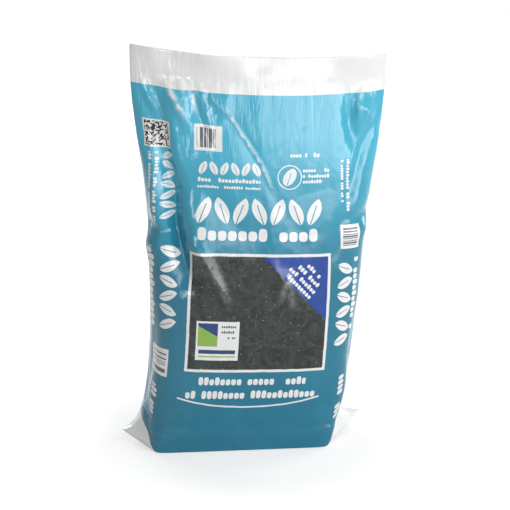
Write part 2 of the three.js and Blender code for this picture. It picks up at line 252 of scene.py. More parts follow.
def sink(around, height):
    depth = np.zeros(len(around))
    at = np.stack([around * halfFlat, height], axis=1)
    for path, amount, reach in creases:
        corners = np.array([(a * halfFlat, up * sack["weldHeight"]) for a, up in path])
        best = np.full(len(around), 1e9)
        along = np.zeros(len(around))
        for i in range(1, len(corners)):
            run = corners[i] - corners[i - 1]
            t = np.clip((at - corners[i - 1]) @ run / (run @ run), 0, 1)
            distance = np.linalg.norm(at - corners[i - 1] - t[:, None] * run, axis=1)
            nearer = distance < best
            best = np.where(nearer, distance, best)
            along = np.where(nearer, (i - 1 + t) / (len(corners) - 1), along)
        first, last, fullness = sack["taper"]
        taper = np.sin(math.pi * mix(first, last, along)) ** fullness
        off = np.hypot(best, sack["foldRound"]) - sack["foldRound"]
        depth += amount * taper * np.exp(-(off / reach) ** sack["flank"])
    last, gone = (sack["weldHeight"] - below for below in sack["weldGrip"])
    return depth * smoothStep(height, *sack["footGrip"]) * (1 - smoothStep(height, last, gone))


def skin(around, height):
    turn = np.abs(around)
    side = np.where(around < 0, -1, 1)
    face = np.where(turn <= 1, -1, 1)
    share = np.where(turn <= 1, turn, 2 - turn)
    sideness = np.clip((share - cornerShare) / (1 - cornerShare), 0, 1)
    settled = np.clip(1 - height / sack["sideLiftReach"], 0, 1)
    level = height + sack["sideLift"] * np.sin(sideness * math.pi / 2) * settled ** 2
    px, py, nx, ny = sectionPoint(share, level)
    room = np.minimum(np.where(share > 0, px / (nx + 1e-6), halfFlat), py / (ny + 1e-6))
    inward = np.minimum(sink(around, level), sack["mostSunk"] * room)
    across = np.clip(np.where(turn > 1, np.sign(around) * 2 - around, around), -1, 1)
    close = smoothStep(height, sack["shoulderHeight"], sack["weldHeight"])
    loose = smoothStep(height, sack["weldHeight"], topEdge)
    wave = sum(share * np.sin(turns * across + start) for turns, start, share in sack["waves"])
    slump = 1 - np.exp(-height / sack["slumpReach"])
    x = side * (px - nx * inward) + sack["slumpLean"] * slump
    y = face * (py - ny * inward) - close * sack["seamBow"] * (1 - across ** 2)
    y = y + loose * sack["headerWave"] * wave
    z = level - close * sack["seamSag"] * (1 - across ** 2) - slump * sack["slumpTilt"] * (1 + across) / 2
    return np.stack([x, y, z], axis=1)


def foldedBottom(around, rowShare):
    # one row of the folded bottom: flat under the base, and an ear beyond each base corner
    made = []
    edge = skin(around, np.zeros(len(around)))
    for k, a in enumerate(around):
        turn, side = abs(a), -1 if a < 0 else 1
        face = -1 if turn <= 1 else 1
        share = turn if turn <= 1 else 2 - turn
        if share <= cornerShare + 1e-9:
            made.append((edge[k, 0], edge[k, 1] * rowShare, 0))
            continue
        ear = sack["leftEar"] if side < 0 else sack["rightEar"]
        tip = np.array([side * (sack["baseWidth"] / 2 + ear["reach"]), ear["back"], ear["lift"]])
        out, down = (share - cornerShare) / (1 - cornerShare), 1 - rowShare
        if down >= out - 1e-9:
            s = cornerShare
        else:
            s = mix(cornerShare, 1, (out - down) / (1 - down))
        corner = skin(np.array([side * (s if face < 0 else 2 - s)]), np.zeros(1))[0]
        if down >= out - 1e-9:
            weld = np.array([corner[0], 0, 0])
            made.append(corner * rowShare + weld * (down - out) + tip * out)
        else:
            pinch = 4 * sack["earPinch"] * ear["reach"] * down * (1 - down) * (out - down) / (1 - down)
            made.append(corner * (1 - down) + tip * down + pinch * np.array([-side * 0.5, 0, -0.8]))
    return np.array(made)


def stationsAround():
    inFront, inCorner = sack["cellsInFront"], sack["cellsInCorner"]
    quarter = [cornerShare * i / inFront for i in range(inFront)]
    quarter += [mix(cornerShare, 1, i / inCorner) for i in range(inCorner + 1)]
    half = quarter + [2 - s for s in reversed(quarter[:-1])]
    return np.array(half + [-s for s in reversed(half[1:-1])])


def makeSack():
    # the film's grid, welded into one closed skin, with its flat coordinates as its UV map
    around = stationsAround()
    count = len(around)
    quarter = count // 4
    mirrored = [(count - k + 2 * quarter) % count for k in range(count)]
    inBody, inHeader = sack["cellsUpBody"], sack["cellsUpHeader"]
    up = [sack["weldHeight"] * (i / inBody) ** sack["rowSpread"] for i in range(inBody + 1)]
    up += [mix(sack["weldHeight"], topEdge, i / inHeader) for i in range(1, inHeader + 1)]
    points, ups, rows = [], [], []
    for j in range(sack["cellsInCorner"]):
        rowShare = j / sack["cellsInCorner"]
        row = foldedBottom(around, rowShare)
        if j == 0:
            front = [k for k in range(count) if k <= quarter or k >= 3 * quarter]
            number = {k: i for i, k in enumerate(front)}
            rows.append([number[k] if k in number else number[mirrored[k]] for k in range(count)])
            points += [row[k] for k in front]
        else:
            rows.append(list(range(len(points), len(points) + count)))
            points += list(row)
        ups.append(-foldDepth / 2 * (1 - rowShare))
    for height in up:
        rows.append(list(range(len(points), len(points) + count)))
        points += list(skin(around, np.full(count, float(height))))
        ups.append(height)
    faces, places = [], []

    def addFace(corners):
        kept = []
        for index, a, v in corners:
            if index not in [c[0] for c in kept]:
                kept.append((index, a, v))
        if len(kept) > 2:
            faces.append([c[0] for c in kept])
            places.append([(c[1] * halfFlat, c[2]) for c in kept])

    for j in range(1, len(rows)):
        for k in range(count):
            n = (k + 1) % count
            here = -2.0 if k == 2 * quarter else around[k]
            cell = [(rows[j - 1][k], here, ups[j - 1]), (rows[j - 1][n], around[n], ups[j - 1]),
                    (rows[j][n], around[n], ups[j]), (rows[j][k], here, ups[j])]
            rising = (k // quarter) % 2 == 0
            place = k % quarter
            inCorner = place >= sack["cellsInFront"] if rising else place < sack["cellsInCorner"]
            if j <= sack["cellsInCorner"] and inCorner:
                if rising:
                    addFace([cell[0], cell[1], cell[3]])
                    addFace([cell[1], cell[2], cell[3]])
                else:
                    addFace([cell[0], cell[1], cell[2]])
                    addFace([cell[0], cell[2], cell[3]])
            else:
                addFace(cell)
    top = rows[-1]
    for k in range(3 * quarter, 5 * quarter):
        left, right = k % count, (k + 1) % count
        across = [(left, left), (right, right), (mirrored[right], right), (mirrored[left], left)]
        addFace([(top[point], around[station], topEdge) for point, station in across])
    co = np.array(points)
    centre = (co.min(axis=0) + co.max(axis=0)) / 2
    co = (co - (centre[0], centre[1], co[:, 2].min())) * mm
    mesh = bpy.data.meshes.new("sack_film")
    mesh.from_pydata(co.tolist(), [], faces)
    uvMap = mesh.uv_layers.new(name="film")
    flat = [c for place in places for c in place]
    uvMap.data.foreach_set("uv", np.array(flat).ravel() * mm)
    mesh.polygons.foreach_set("use_smooth", [True] * len(faces))
    made = bpy.data.objects.new("sack_film", mesh)
    bpy.context.scene.collection.objects.link(made)
    heightOf = np.zeros(len(points))
    for row, height in zip(rows, ups):
        heightOf[row] = height
    return made, heightOf


film, filmHeight = makeSack()
print("film laid out:", len(film.data.vertices), "points")


# Film settling on its fill: a cloth that is a little larger than the form it covers, so it buckles.
# The welds and the base are pinned, the fill holds the body, and the slack shoulders wrinkle most.

settling = {
    "frames": 16,
    "growth": 0.04,           # how much larger than the form the slackest film is
    "bodyHold": 0.16, "shoulderHold": 0.05,
    "unevenness": 0.2,        # of the film before it settles, in millimetres
    "capped": 5.0,            # how far a point may move, in millimetres
    # heights above the base edge between which each thing changes
    "baseFree": (2.0, 16.0), "shoulder": (330.0, 430.0),
    "slackTop": (300.0, 480.0), "slackFoot": (20.0, 120.0),
    "seamPinned": (14.0, 2.0),  # below the top weld
    "bodySlack": 0.3, "footSlack": 0.8,
    "stretchStiffness": 80.0, "shearStiffness": 27.0, "bendStiffness": 0.02,
    "damping": 15.0, "airDamping": 2.0, "pointMass": 0.1, "gravity": 0.3,
}


def settleFilm(piece, heightOf):
    scene = bpy.context.scene
    rest = np.array([v.co for v in piece.data.vertices])
    rough = np.random.default_rng(7).normal(0, settling["unevenness"] * mm, rest.shape)
    seamFrom, seamTo = (sack["weldHeight"] - below for below in settling["seamPinned"])
    pinned = np.maximum(1 - smoothStep(heightOf, *settling["baseFree"]),
                        smoothStep(heightOf, seamFrom, seamTo))
    piece.data.vertices.foreach_set("co", (rest + rough * (1 - pinned)[:, None]).ravel())
    hold = mix(settling["bodyHold"], settling["shoulderHold"], smoothStep(heightOf, *settling["shoulder"]))
    held = np.maximum(pinned, hold)
    slack = mix(settling["bodySlack"], 1, smoothStep(heightOf, *settling["slackTop"]))
    footSlack = settling["footSlack"] * (1 - smoothStep(heightOf, *settling["slackFoot"]))
    slack = np.maximum(slack, footSlack)
    for name, weights in (("held", held), ("slack", slack)):
        group = piece.vertex_groups.new(name=name)
        for index, weight in enumerate(weights):
            group.add([index], float(weight), "REPLACE")
    cloth = piece.modifiers.new("settling", "CLOTH")
    cloth.settings.quality = 6
    cloth.settings.mass = settling["pointMass"]
    cloth.settings.tension_stiffness = settling["stretchStiffness"]
    cloth.settings.compression_stiffness = settling["stretchStiffness"]
    cloth.settings.shear_stiffness = settling["shearStiffness"]
    cloth.settings.bending_stiffness = settling["bendStiffness"]
    cloth.settings.tension_damping = settling["damping"]
    cloth.settings.compression_damping = settling["damping"]
    cloth.settings.air_damping = settling["airDamping"]
    cloth.settings.vertex_group_mass = "held"
    cloth.settings.vertex_group_shrink = "slack"
    cloth.settings.shrink_min = 0.0
    cloth.settings.shrink_max = -settling["growth"]
    cloth.settings.effector_weights.gravity = settling["gravity"]
    cloth.point_cache.frame_start = 1
    cloth.point_cache.frame_end = settling["frames"]
    for step in range(1, settling["frames"] + 1):
        scene.frame_set(step)
    graph = bpy.context.evaluated_depsgraph_get()
    moved = np.array([v.co for v in piece.evaluated_get(graph).data.vertices])
    piece.modifiers.remove(cloth)
    scene.frame_set(1)
    shift = moved - rest
    length = np.linalg.norm(shift, axis=1, keepdims=True)
    most = settling["capped"] * mm
    shift *= np.where(length > 0, most * np.tanh(length / most) / np.maximum(length, 1e-9), 0)
    shift *= (1 - pinned)[:, None]
    piece.data.vertices.foreach_set("co", (rest + shift).ravel())
    piece.data.update()
    print("film settled, mean move", round(float(np.linalg.norm(shift, axis=1).mean() / mm), 2), "mm")


settleFilm(film, filmHeight)

bpy.ops.object.select_all(action="DESELECT")
film.select_set(True)
bpy.context.view_layer.objects.active = film
smooth = film.modifiers.new("smooth", "SUBSURF")
smooth.levels = smooth.render_levels = 1
smooth.uv_smooth = "PRESERVE_BOUNDARIES"
bpy.ops.object.modifier_apply(modifier="smooth")
print("film refined:", sum(len(p.vertices) - 2 for p in film.data.polygons), "triangles")


# Print and polythene. Every printed place is in film millimetres: across from the middle of the front,
# and up from the edge of the base.

printed = {
    "top": 590.0,             # the print stops here, and the film above is white
    "paintedLightHeights": (300.0, 500.0),  # painted light and sheen: the teal is darker below the first height and lighter above the second
    "uneven": 0.5, "unevenScale": 0.012,  # how ragged that change is, and its patches for each millimetre
    "picture": {"left": -105.0, "right": 109.0, "bottom": 150.0, "top": 336.0, "border": 4.5},
    "corner": {
        "width": 103.0, "height": 105.0,
        "run": 70.0,          # from the picture's corner to the slant
        # rows along the slant: (from, to, lowest, height, pitch, seed)
        "pebbles": [(-14, 14, -34, 7, 5.6, 41.0), (-22, 22, -45, 7, 5.6, 42.4),
                    (-31, 31, -56, 7, 5.6, 43.9), (-26, 26, -66, 7, 5.6, 44.2)],
    },
    "label": {
        "left": -94.0, "right": -27.0, "bottom": 166.0, "top": 231.0,
        # fields as shares of the label: left, right, bottom, top
        "panel": (0.04, 0.5, 0.36, 0.95), "bar": (0.07, 0.93, 0.17, 0.27), "line": (0.07, 0.93, 0.08, 0.115),
        "hillSlope": -0.55, "hillTop": 0.9,
        "rows": (0.56, 0.7, 0.84), "rowEnds": (0.58, 0.92), "pebble": 4.5, "pitch": 3.4,
    },
    "curve": {"left": -117.0, "right": 109.0, "ends": 99.0, "middle": 84.0, "thick": 1.4},
}
ink = {
    "teal": "#0F7692",        # the darker teal, low on the sack
    "paintedLitTeal": "#44B3D1",   # a lighter teal higher up: painted light and sheen on the upper sack
    "white": "#EEEFEE",
    "blue": "#05419A",
    "navy": "#123A78",
    "green": "#8DB84A",
    "grey": "#5C666B",
    "black": "#14181A",
    "soil": "#0E1211",
    "crumb": "#333F39",
    "fleck": "#8A9872",
}

# rows of pebbles: (turned, from, to, lowest, height, pitch, seed)
pebbleRows = [
    (0, -98, 12.6, 360, 20, 15.8, 3.1),
    (0, 29, 92, 360, 20, 15.8, 4.6),
    (0, -86, 84, 123, 14, 8.6, 7.7),
    (0, -105, 102, 99, 14, 8.6, 9.2),
    (0, -100, 0, 451, 7, 5.4, 11.3),
    (0, -100, 0, 441, 4.5, 3.8, 12.1),
    (0, 42, 96, 494, 7, 4.8, 13.9),
    (0, 68, 112, 470, 6, 4.4, 15.2),
    (0, 68, 112, 461, 6, 4.4, 17.6),
    (0, 68, 100, 452, 6, 4.4, 18.4),
    (1, 208, 342, -184, 15, 11, 21.4),
    (1, 380, 488, -171, 6, 5, 23.8),
    (1, 380, 488, -182, 6, 5, 24.7),
    (1, 52, 112, -167, 14, 9, 25.5),
    (1, 208, 330, 156, 12, 9.5, 31.6),
    (1, 40, 136, 142, 15, 9, 33.3),
    (1, 405, 488, 141, 6, 5, 35.1),
    (1, 420, 488, 131, 5, 4, 36.5),
]
# rows of leaves: (turned, from, to, lowest, height, pitch)
leafRows = [
    (0, -103, 101, 385, 42, 29.1),
    (0, -100, 2, 462, 22, 17),
    (1, 209, 347, -158, 31, 23),
    (1, 383, 491, -161, 21, 15.4),
    (1, 182, 326, 126, 28, 24),
]
# barcodes on white: (left, right, bottom, top, the bars run across)
barcodes = [
    (-105, -61, 500, 540, 0),
    (-181, -137, 132, 178, 1),
    (130, 163, 346, 384, 1),
]
barShape = {"module": 1.3, "side": 4.0, "end": 5.0}
codeBlock = {"left": -188.0, "right": -143.0, "bottom": 495.0, "top": 538.0, "module": 2.3, "margin": 2.5}
crest = {"x": 47.0, "y": 462.0, "radius": 20.0, "ring": 1.8, "leaf": 29.0}
# a pebble's width as a share of the pitch, the short ones' height as a share of the row's, how many are
# short, how square they are, and how many are left out of rows no taller than the last value
pebbleShape = {"width": 0.84, "short": 0.76, "shortShare": 0.6, "square": 3.0, "gaps": 0.16, "gapless": 16}
# how far leaves lean, their widest half as a share of the pitch, and the midrib as shares of the height
leafShape = {"lean": 0.35, "waist": 0.36, "rib": 0.022, "ribTop": 0.25}
# the soil in the picture: cells for each millimetre, so its crumbs are about 7 mm across and its flecks
# at least 4 mm apart, with a share of the fleck cells bare
soilShape = {"crumbs": 0.14, "grain": 0.5, "contrast": 1.7, "flecks": 0.23, "fleckSize": 0.22, "bare": 0.7}


# Sharp fold lines, as (path in film millimetres, width, whiteAndHighlightShare): the film stands up along
# them, and they are painted white, partly the whitening of hard-folded polythene and partly painted
# highlights. Each fades towards its lower end.
foldLines = [
    ([(-52, 563), (-33, 533), (-16, 509), (4, 478), (26, 427)], 3.0, 0.9),
    ([(-79, 592), (-72, 575), (-56, 561), (-52, 592)], 2.2, 0.8),
    ([(-75, 592), (-64, 579), (-59, 592)], 1.5, 0.6),
    ([(-111, 604), (-105, 571), (-97, 535)], 3.6, 1.0),
    ([(-104, 592), (-92, 573), (-86, 540)], 1.3, 0.5),
    ([(-82, 499), (-70, 465)], 2.0, 0.6),
    ([(-148, 594), (-130, 567), (-113, 536)], 5.5, 1.0),
    ([(-128, 600), (-112, 566)], 4.5, 1.0),
    ([(-176, 596), (-160, 560), (-138, 515)], 1.5, 0.3),
    ([(146, 600), (150, 560), (153, 515)], 1.6, 0.2),
    ([(168, 597), (160, 575), (163, 540)], 4.0, 0.8),
    ([(190, 590), (172, 548), (154, 500), (136, 430)], 1.6, 0.3),
    # these last four cross the soil picture, where their white is painted highlight
    ([(-95, 342), (-79, 317), (-63, 291), (-34, 230)], 5.0, 0.3),
    ([(46, 296), (26, 250)], 7.0, 0.45),
    ([(44, 299), (62, 232)], 7.0, 0.45),
    ([(64, 282), (85, 245)], 3.0, 0.4),
]


def paint(tree, under, mask, colour):
    mixed = addNode(tree, "ShaderNodeMix", {"data_type": "RGBA"})
    tree.links.new(mask, mixed.inputs["Factor"])
    tree.links.new(under, mixed.inputs[6])
    if isinstance(colour, str):
        mixed.inputs[7].default_value = linear(colour)
    else:
        tree.links.new(colour, mixed.inputs[7])
    return mixed.outputs[2]


def combine(tree, operation, *terms):
    # one value from two or three others, each a socket or a number
    node = addNode(tree, "ShaderNodeMath", {"operation": operation})
    for slot, term in enumerate(terms):
        if isinstance(term, (int, float)):
            node.inputs[slot].default_value = term
        else:
            tree.links.new(term, node.inputs[slot])
    return node.outputs[0]


def within(tree, value, low, high):
    half = (high - low) / 2
    off = combine(tree, "ABSOLUTE", combine(tree, "SUBTRACT", value, low + half))
    return combine(tree, "LESS_THAN", off, half)


def boxMask(tree, x, y, left, right, bottom, top):
    return combine(tree, "MULTIPLY", within(tree, x, left, right), within(tree, y, bottom, top))


def reachOf(tree, offX, offY):
    # how far a point lies from the one that both steps start at
    squares = combine(tree, "MULTIPLY", offX, offX), combine(tree, "MULTIPLY", offY, offY)
    return combine(tree, "SQRT", combine(tree, "ADD", *squares))


def chance(tree, *terms):
    # fixed random values for each cell
    node = addNode(tree, "ShaderNodeTexWhiteNoise", {"noise_dimensions": "3D"})
    cell = addNode(tree, "ShaderNodeCombineXYZ")
    for slot, term in enumerate(terms):
        if isinstance(term, (int, float)):
            cell.inputs[slot].default_value = term
        else:
            tree.links.new(term, cell.inputs[slot])
    tree.links.new(cell.outputs[0], node.inputs["Vector"])
    return addNode(tree, "ShaderNodeSeparateColor", links={"Color": node.outputs["Color"]}).outputs


def pebbleMask(tree, x, y, start, end, low, height, pitch, seed):
    along = combine(tree, "DIVIDE", combine(tree, "SUBTRACT", x, start), pitch)
    present, tallness = chance(tree, combine(tree, "FLOOR", along), seed)[:2]
    width, short, square = (pebbleShape[k] for k in ("width", "short", "square"))
    offX = combine(tree, "MULTIPLY_ADD", combine(tree, "FRACT", along), 2 / width, -1 / width)
    isTall = combine(tree, "GREATER_THAN", tallness, pebbleShape["shortShare"])
    half = combine(tree, "MULTIPLY_ADD", isTall, (1 - short) * height / 2, short * height / 2)
    overMiddle = combine(tree, "SUBTRACT", combine(tree, "SUBTRACT", y, low), half)
    offY = combine(tree, "DIVIDE", overMiddle, half)
    bulk = combine(tree, "ADD", *(combine(tree, "POWER", combine(tree, "ABSOLUTE", off), square)
                                  for off in (offX, offY)))
    gaps = 0.0 if height > pebbleShape["gapless"] else pebbleShape["gaps"]
    pebble = combine(tree, "MULTIPLY", combine(tree, "LESS_THAN", bulk, 1.0),
                     combine(tree, "GREATER_THAN", present, gaps))
    return combine(tree, "MULTIPLY", pebble, within(tree, x, start, end))


def foldRidge(tree, x, y, path, width):
    # how high the film stands beside a fold line, 1 along the line itself
    nearest = None
    for (fromX, fromY), (toX, toY) in zip(path, path[1:]):
        runX, runY = toX - fromX, toY - fromY
        length = math.hypot(runX, runY)
        offX, offY = combine(tree, "SUBTRACT", x, fromX), combine(tree, "SUBTRACT", y, fromY)
        along = combine(tree, "MULTIPLY_ADD", offX, runX / length,
                        combine(tree, "MULTIPLY", offY, runY / length))
        aside = combine(tree, "MULTIPLY_ADD", offX, runY / length,
                        combine(tree, "MULTIPLY", offY, -runX / length))
        fromMiddle = combine(tree, "ABSOLUTE", combine(tree, "SUBTRACT", along, length / 2))
        past = combine(tree, "MAXIMUM", combine(tree, "SUBTRACT", fromMiddle, length / 2), 0.0)
        away = reachOf(tree, past, aside)
        nearest = away if nearest is None else combine(tree, "MINIMUM", nearest, away)
    slope = addNode(tree, "ShaderNodeMapRange", {"interpolation_type": "SMOOTHSTEP", "From Max": 2 * width,
                                                 "To Min": 1.0, "To Max": 0.0}, {"Value": nearest})
    lastX, lastY = path[-1]
    toEnd = combine(tree, "ADD", combine(tree, "ABSOLUTE", combine(tree, "SUBTRACT", x, lastX)),
                    combine(tree, "ABSOLUTE", combine(tree, "SUBTRACT", y, lastY)))
    fade = addNode(tree, "ShaderNodeMapRange", {"From Max": polythene["foldFade"]}, {"Value": toEnd})
    return combine(tree, "MULTIPLY", slope.outputs[0], fade.outputs[0])


def leafMask(tree, x, y, start, end, low, height, pitch):
    # pointed leaves that lean left and right in turn, each the overlap of two discs, split by a midrib
    along = combine(tree, "DIVIDE", combine(tree, "SUBTRACT", x, start), pitch)
    offX = combine(tree, "MULTIPLY", combine(tree, "SUBTRACT", combine(tree, "FRACT", along), 0.5), pitch)
    offY = combine(tree, "SUBTRACT", y, low + height / 2)
    parity = combine(tree, "MODULO", combine(tree, "FLOOR", along), 2)
    leanBy = combine(tree, "MULTIPLY_ADD", parity, 2 * leafShape["lean"], -leafShape["lean"])
    offX = combine(tree, "ADD", offX, combine(tree, "MULTIPLY", offY, leanBy))
    half = height / 2
    waist = leafShape["waist"] * pitch
    radius = (half * half + waist * waist) / (2 * waist)
    away = combine(tree, "ADD", combine(tree, "ABSOLUTE", offX), radius - waist)
    leaf = combine(tree, "LESS_THAN", reachOf(tree, away, offY), radius)
    rib = combine(tree, "LESS_THAN", combine(tree, "ABSOLUTE", offX), leafShape["rib"] * height)
    rib = combine(tree, "MULTIPLY", rib, combine(tree, "LESS_THAN", offY, leafShape["ribTop"] * height))
    leaf = combine(tree, "SUBTRACT", leaf, combine(tree, "MULTIPLY", leaf, rib))
    return combine(tree, "MULTIPLY", leaf, boxMask(tree, x, y, start, end, low, low + height))


def soilPicture(tree, place):
    # a printed picture of dark crumbly soil, with a few pale flecks
    crumbs = addNode(tree, "ShaderNodeTexVoronoi", {"Scale": soilShape["crumbs"]}, {"Vector": place})
    crumbTone = addNode(tree, "ShaderNodeSeparateColor", links={"Color": crumbs.outputs["Color"]}).outputs
    fine = addNode(tree, "ShaderNodeTexNoise",
                   {"Scale": soilShape["grain"], "Detail": 4.0, "Roughness": 0.7}, {"Vector": place})
    light = combine(tree, "MULTIPLY", crumbTone[0], fine.outputs[0])
    light = combine(tree, "MULTIPLY", light, soilShape["contrast"])
    base = addNode(tree, "ShaderNodeMix", {"data_type": "RGBA"})
    tree.links.new(light, base.inputs["Factor"])
    base.inputs[6].default_value = linear(ink["soil"])
    base.inputs[7].default_value = linear(ink["crumb"])
    flecks = addNode(tree, "ShaderNodeTexVoronoi", {"Scale": soilShape["flecks"]}, {"Vector": place})
    chosen = addNode(tree, "ShaderNodeSeparateColor", links={"Color": flecks.outputs["Color"]}).outputs
    small = combine(tree, "LESS_THAN", flecks.outputs["Distance"], soilShape["fleckSize"])
    fleck = combine(tree, "MULTIPLY", small, combine(tree, "GREATER_THAN", chosen[1], soilShape["bare"]))
    return paint(tree, base.outputs[2], combine(tree, "MULTIPLY", fleck, chosen[0]), ink["fleck"])


def printedFilm(tree, place, x, y):
    # white film, then the teal field, then each printed thing over the last
    colour = addNode(tree, "ShaderNodeRGB").outputs[0]
    colour.default_value = linear(ink["white"])
    # painted light: the teal grows lighter towards the top, standing in for the stronger light and sheen
    # there
    full, slack = printed["paintedLightHeights"]
    deep = addNode(tree, "ShaderNodeMapRange", {"From Min": slack, "From Max": full}, {"Value": y})
    uneven = addNode(tree, "ShaderNodeTexNoise", {"Scale": printed["unevenScale"], "Detail": 2.0},
                     {"Vector": place})
    paintedLightFade = combine(tree, "MULTIPLY_ADD", uneven.outputs[0], printed["uneven"], -printed["uneven"] / 2)
    paintedLightFade = combine(tree, "ADD", deep.outputs[0], paintedLightFade)
    tealWithPaintedLight = addNode(tree, "ShaderNodeMix", {"data_type": "RGBA", 6: linear(ink["paintedLitTeal"]),
                                                7: linear(ink["teal"])}, {"Factor": paintedLightFade})
    colour = paint(tree, colour, within(tree, y, 0, printed["top"]), tealWithPaintedLight.outputs[2])

    left, right, bottom, top = (printed["picture"][k] for k in ("left", "right", "bottom", "top"))
    edge = printed["picture"]["border"]
    outer = boxMask(tree, x, y, left - edge, right + edge, bottom - edge, top + edge)
    colour = paint(tree, colour, outer, ink["white"])
    inner = boxMask(tree, x, y, left, right, bottom, top)
    colour = paint(tree, colour, inner, soilPicture(tree, place))
    corner = printed["corner"]
    aside = combine(tree, "DIVIDE", combine(tree, "SUBTRACT", right, x), corner["width"])
    below = combine(tree, "DIVIDE", combine(tree, "SUBTRACT", top, y), corner["height"])
    slanting = combine(tree, "ADD", aside, below)
    triangle = combine(tree, "MULTIPLY", inner, combine(tree, "LESS_THAN", slanting, 1.0))
    colour = paint(tree, colour, triangle, ink["blue"])
    runX = combine(tree, "MULTIPLY", combine(tree, "SUBTRACT", below, aside), -corner["run"])
    runY = combine(tree, "MULTIPLY", slanting, -corner["run"])
    for row in corner["pebbles"]:
        colour = paint(tree, colour, pebbleMask(tree, runX, runY, *row), ink["white"])

    label = printed["label"]
    left, low = label["left"], label["bottom"]
    wide, high = label["right"] - left, label["top"] - low

    def partOfLabel(fromX, toX, fromY, toY):
        ends = left + fromX * wide, left + toX * wide
        return boxMask(tree, x, y, *ends, low + fromY * high, low + toY * high)

    colour = paint(tree, colour, partOfLabel(0, 1, 0, 1), ink["white"])
    panel = partOfLabel(*label["panel"])
    colour = paint(tree, colour, panel, ink["navy"])
    rolling = combine(tree, "MULTIPLY_ADD", combine(tree, "SUBTRACT", x, left), label["hillSlope"],
                      low + label["hillTop"] * high)
    hill = combine(tree, "MULTIPLY", panel, combine(tree, "LESS_THAN", y, rolling))
    colour = paint(tree, colour, hill, ink["green"])
    rowStart, rowEnd = (left + share * wide for share in label["rowEnds"])
    for rise in label["rows"]:
        row = pebbleMask(tree, x, y, rowStart, rowEnd, low + rise * high, label["pebble"], label["pitch"],
                         40 * rise)
        colour = paint(tree, colour, row, ink["grey"])
    colour = paint(tree, colour, partOfLabel(*label["bar"]), ink["navy"])
    colour = paint(tree, colour, partOfLabel(*label["line"]), ink["green"])

    for rows, rowMask in ((leafRows, leafMask), (pebbleRows, pebbleMask)):
        for turned, *row in rows:
            along, up = (y, x) if turned else (x, y)
            colour = paint(tree, colour, rowMask(tree, along, up, *row), ink["white"])

    side, end = barShape["side"], barShape["end"]
    for left, right, low, high, flat in barcodes:
        colour = paint(tree, colour, boxMask(tree, x, y, left, right, low, high), ink["white"])
        run = combine(tree, "FLOOR", combine(tree, "DIVIDE", y if flat else x, barShape["module"]))
        bars = combine(tree, "GREATER_THAN", chance(tree, run, left, 5.0)[0], 0.5)
        inside = boxMask(tree, x, y, left + side, right - side, low + end, high - end)
        colour = paint(tree, colour, combine(tree, "MULTIPLY", bars, inside), ink["grey"])

    left, right, low, high = (codeBlock[k] for k in ("left", "right", "bottom", "top"))
    colour = paint(tree, colour, boxMask(tree, x, y, left, right, low, high), ink["white"])
    column = combine(tree, "FLOOR", combine(tree, "DIVIDE", x, codeBlock["module"]))
    rank = combine(tree, "FLOOR", combine(tree, "DIVIDE", y, codeBlock["module"]))
    dots = combine(tree, "GREATER_THAN", chance(tree, column, rank, 2.0)[0], 0.5)
    edge = codeBlock["margin"]
    inside = boxMask(tree, x, y, left + edge, right - edge, low + edge, high - edge)
    colour = paint(tree, colour, combine(tree, "MULTIPLY", dots, inside), ink["black"])

    away = reachOf(tree, combine(tree, "SUBTRACT", x, crest["x"]), combine(tree, "SUBTRACT", y, crest["y"]))
    ring = within(tree, away, crest["radius"] - crest["ring"], crest["radius"])
    colour = paint(tree, colour, ring, ink["white"])
    leaf = crest["leaf"]
    left, low = crest["x"] - leaf / 2, crest["y"] - leaf / 2
    sprig = leafMask(tree, x, y, left, left + leaf, low, leaf, leaf)
    colour = paint(tree, colour, sprig, ink["white"])

    curve = printed["curve"]
    middle, half = (curve["left"] + curve["right"]) / 2, (curve["right"] - curve["left"]) / 2
    share = combine(tree, "DIVIDE", combine(tree, "SUBTRACT", x, middle), half)
    sag = combine(tree, "MULTIPLY_ADD", combine(tree, "MULTIPLY", share, share),
                  curve["ends"] - curve["middle"], curve["middle"])
    line = within(tree, combine(tree, "SUBTRACT", y, sag), -curve["thick"], curve["thick"])
    line = combine(tree, "MULTIPLY", line, within(tree, x, curve["left"], curve["right"]))
    return paint(tree, colour, line, ink["white"])


# Blown polythene film, printed: glossy, a little uneven, finely crinkled, and pleated under its seam.
# Scales are cells for each millimetre, and heights are in the units of the bump.
polythene = {
    "ior": 1.48, "roughness": (0.1, 0.24),
    "strayScale": 0.09, "strayBy": 5.0,    # fold lines wander by up to half of this, in millimetres
    "foldFade": 45.0,                      # a fold line dies out over this length
    "foldHeight": 0.6, "foldFull": 3.0,    # lines narrower than this, in millimetres, stand lower
    "whiteAndHighlightFrom": 0.3, "whiteAndHighlightTo": 0.62,   # the noise that breaks up the white lines of fold whitening and painted highlight
    "crinkleScale": 0.045, "drawn": 0.35,  # crinkles are drawn out upwards
    "creaseScale": 0.016, "creaseWidth": 0.12, "creaseHeight": 0.12,
    "pleatScale": (0.075, 0.011, 1.0), "pleatTurn": 0.12,
    "pleatFrom": 430.0, "pleatTo": 600.0, "pleatHeight": -1.8, "lessInHeader": 1.2,
    "weldHeight": -0.25,
    "bump": 0.3, "bumpDepth": 0.004,
}


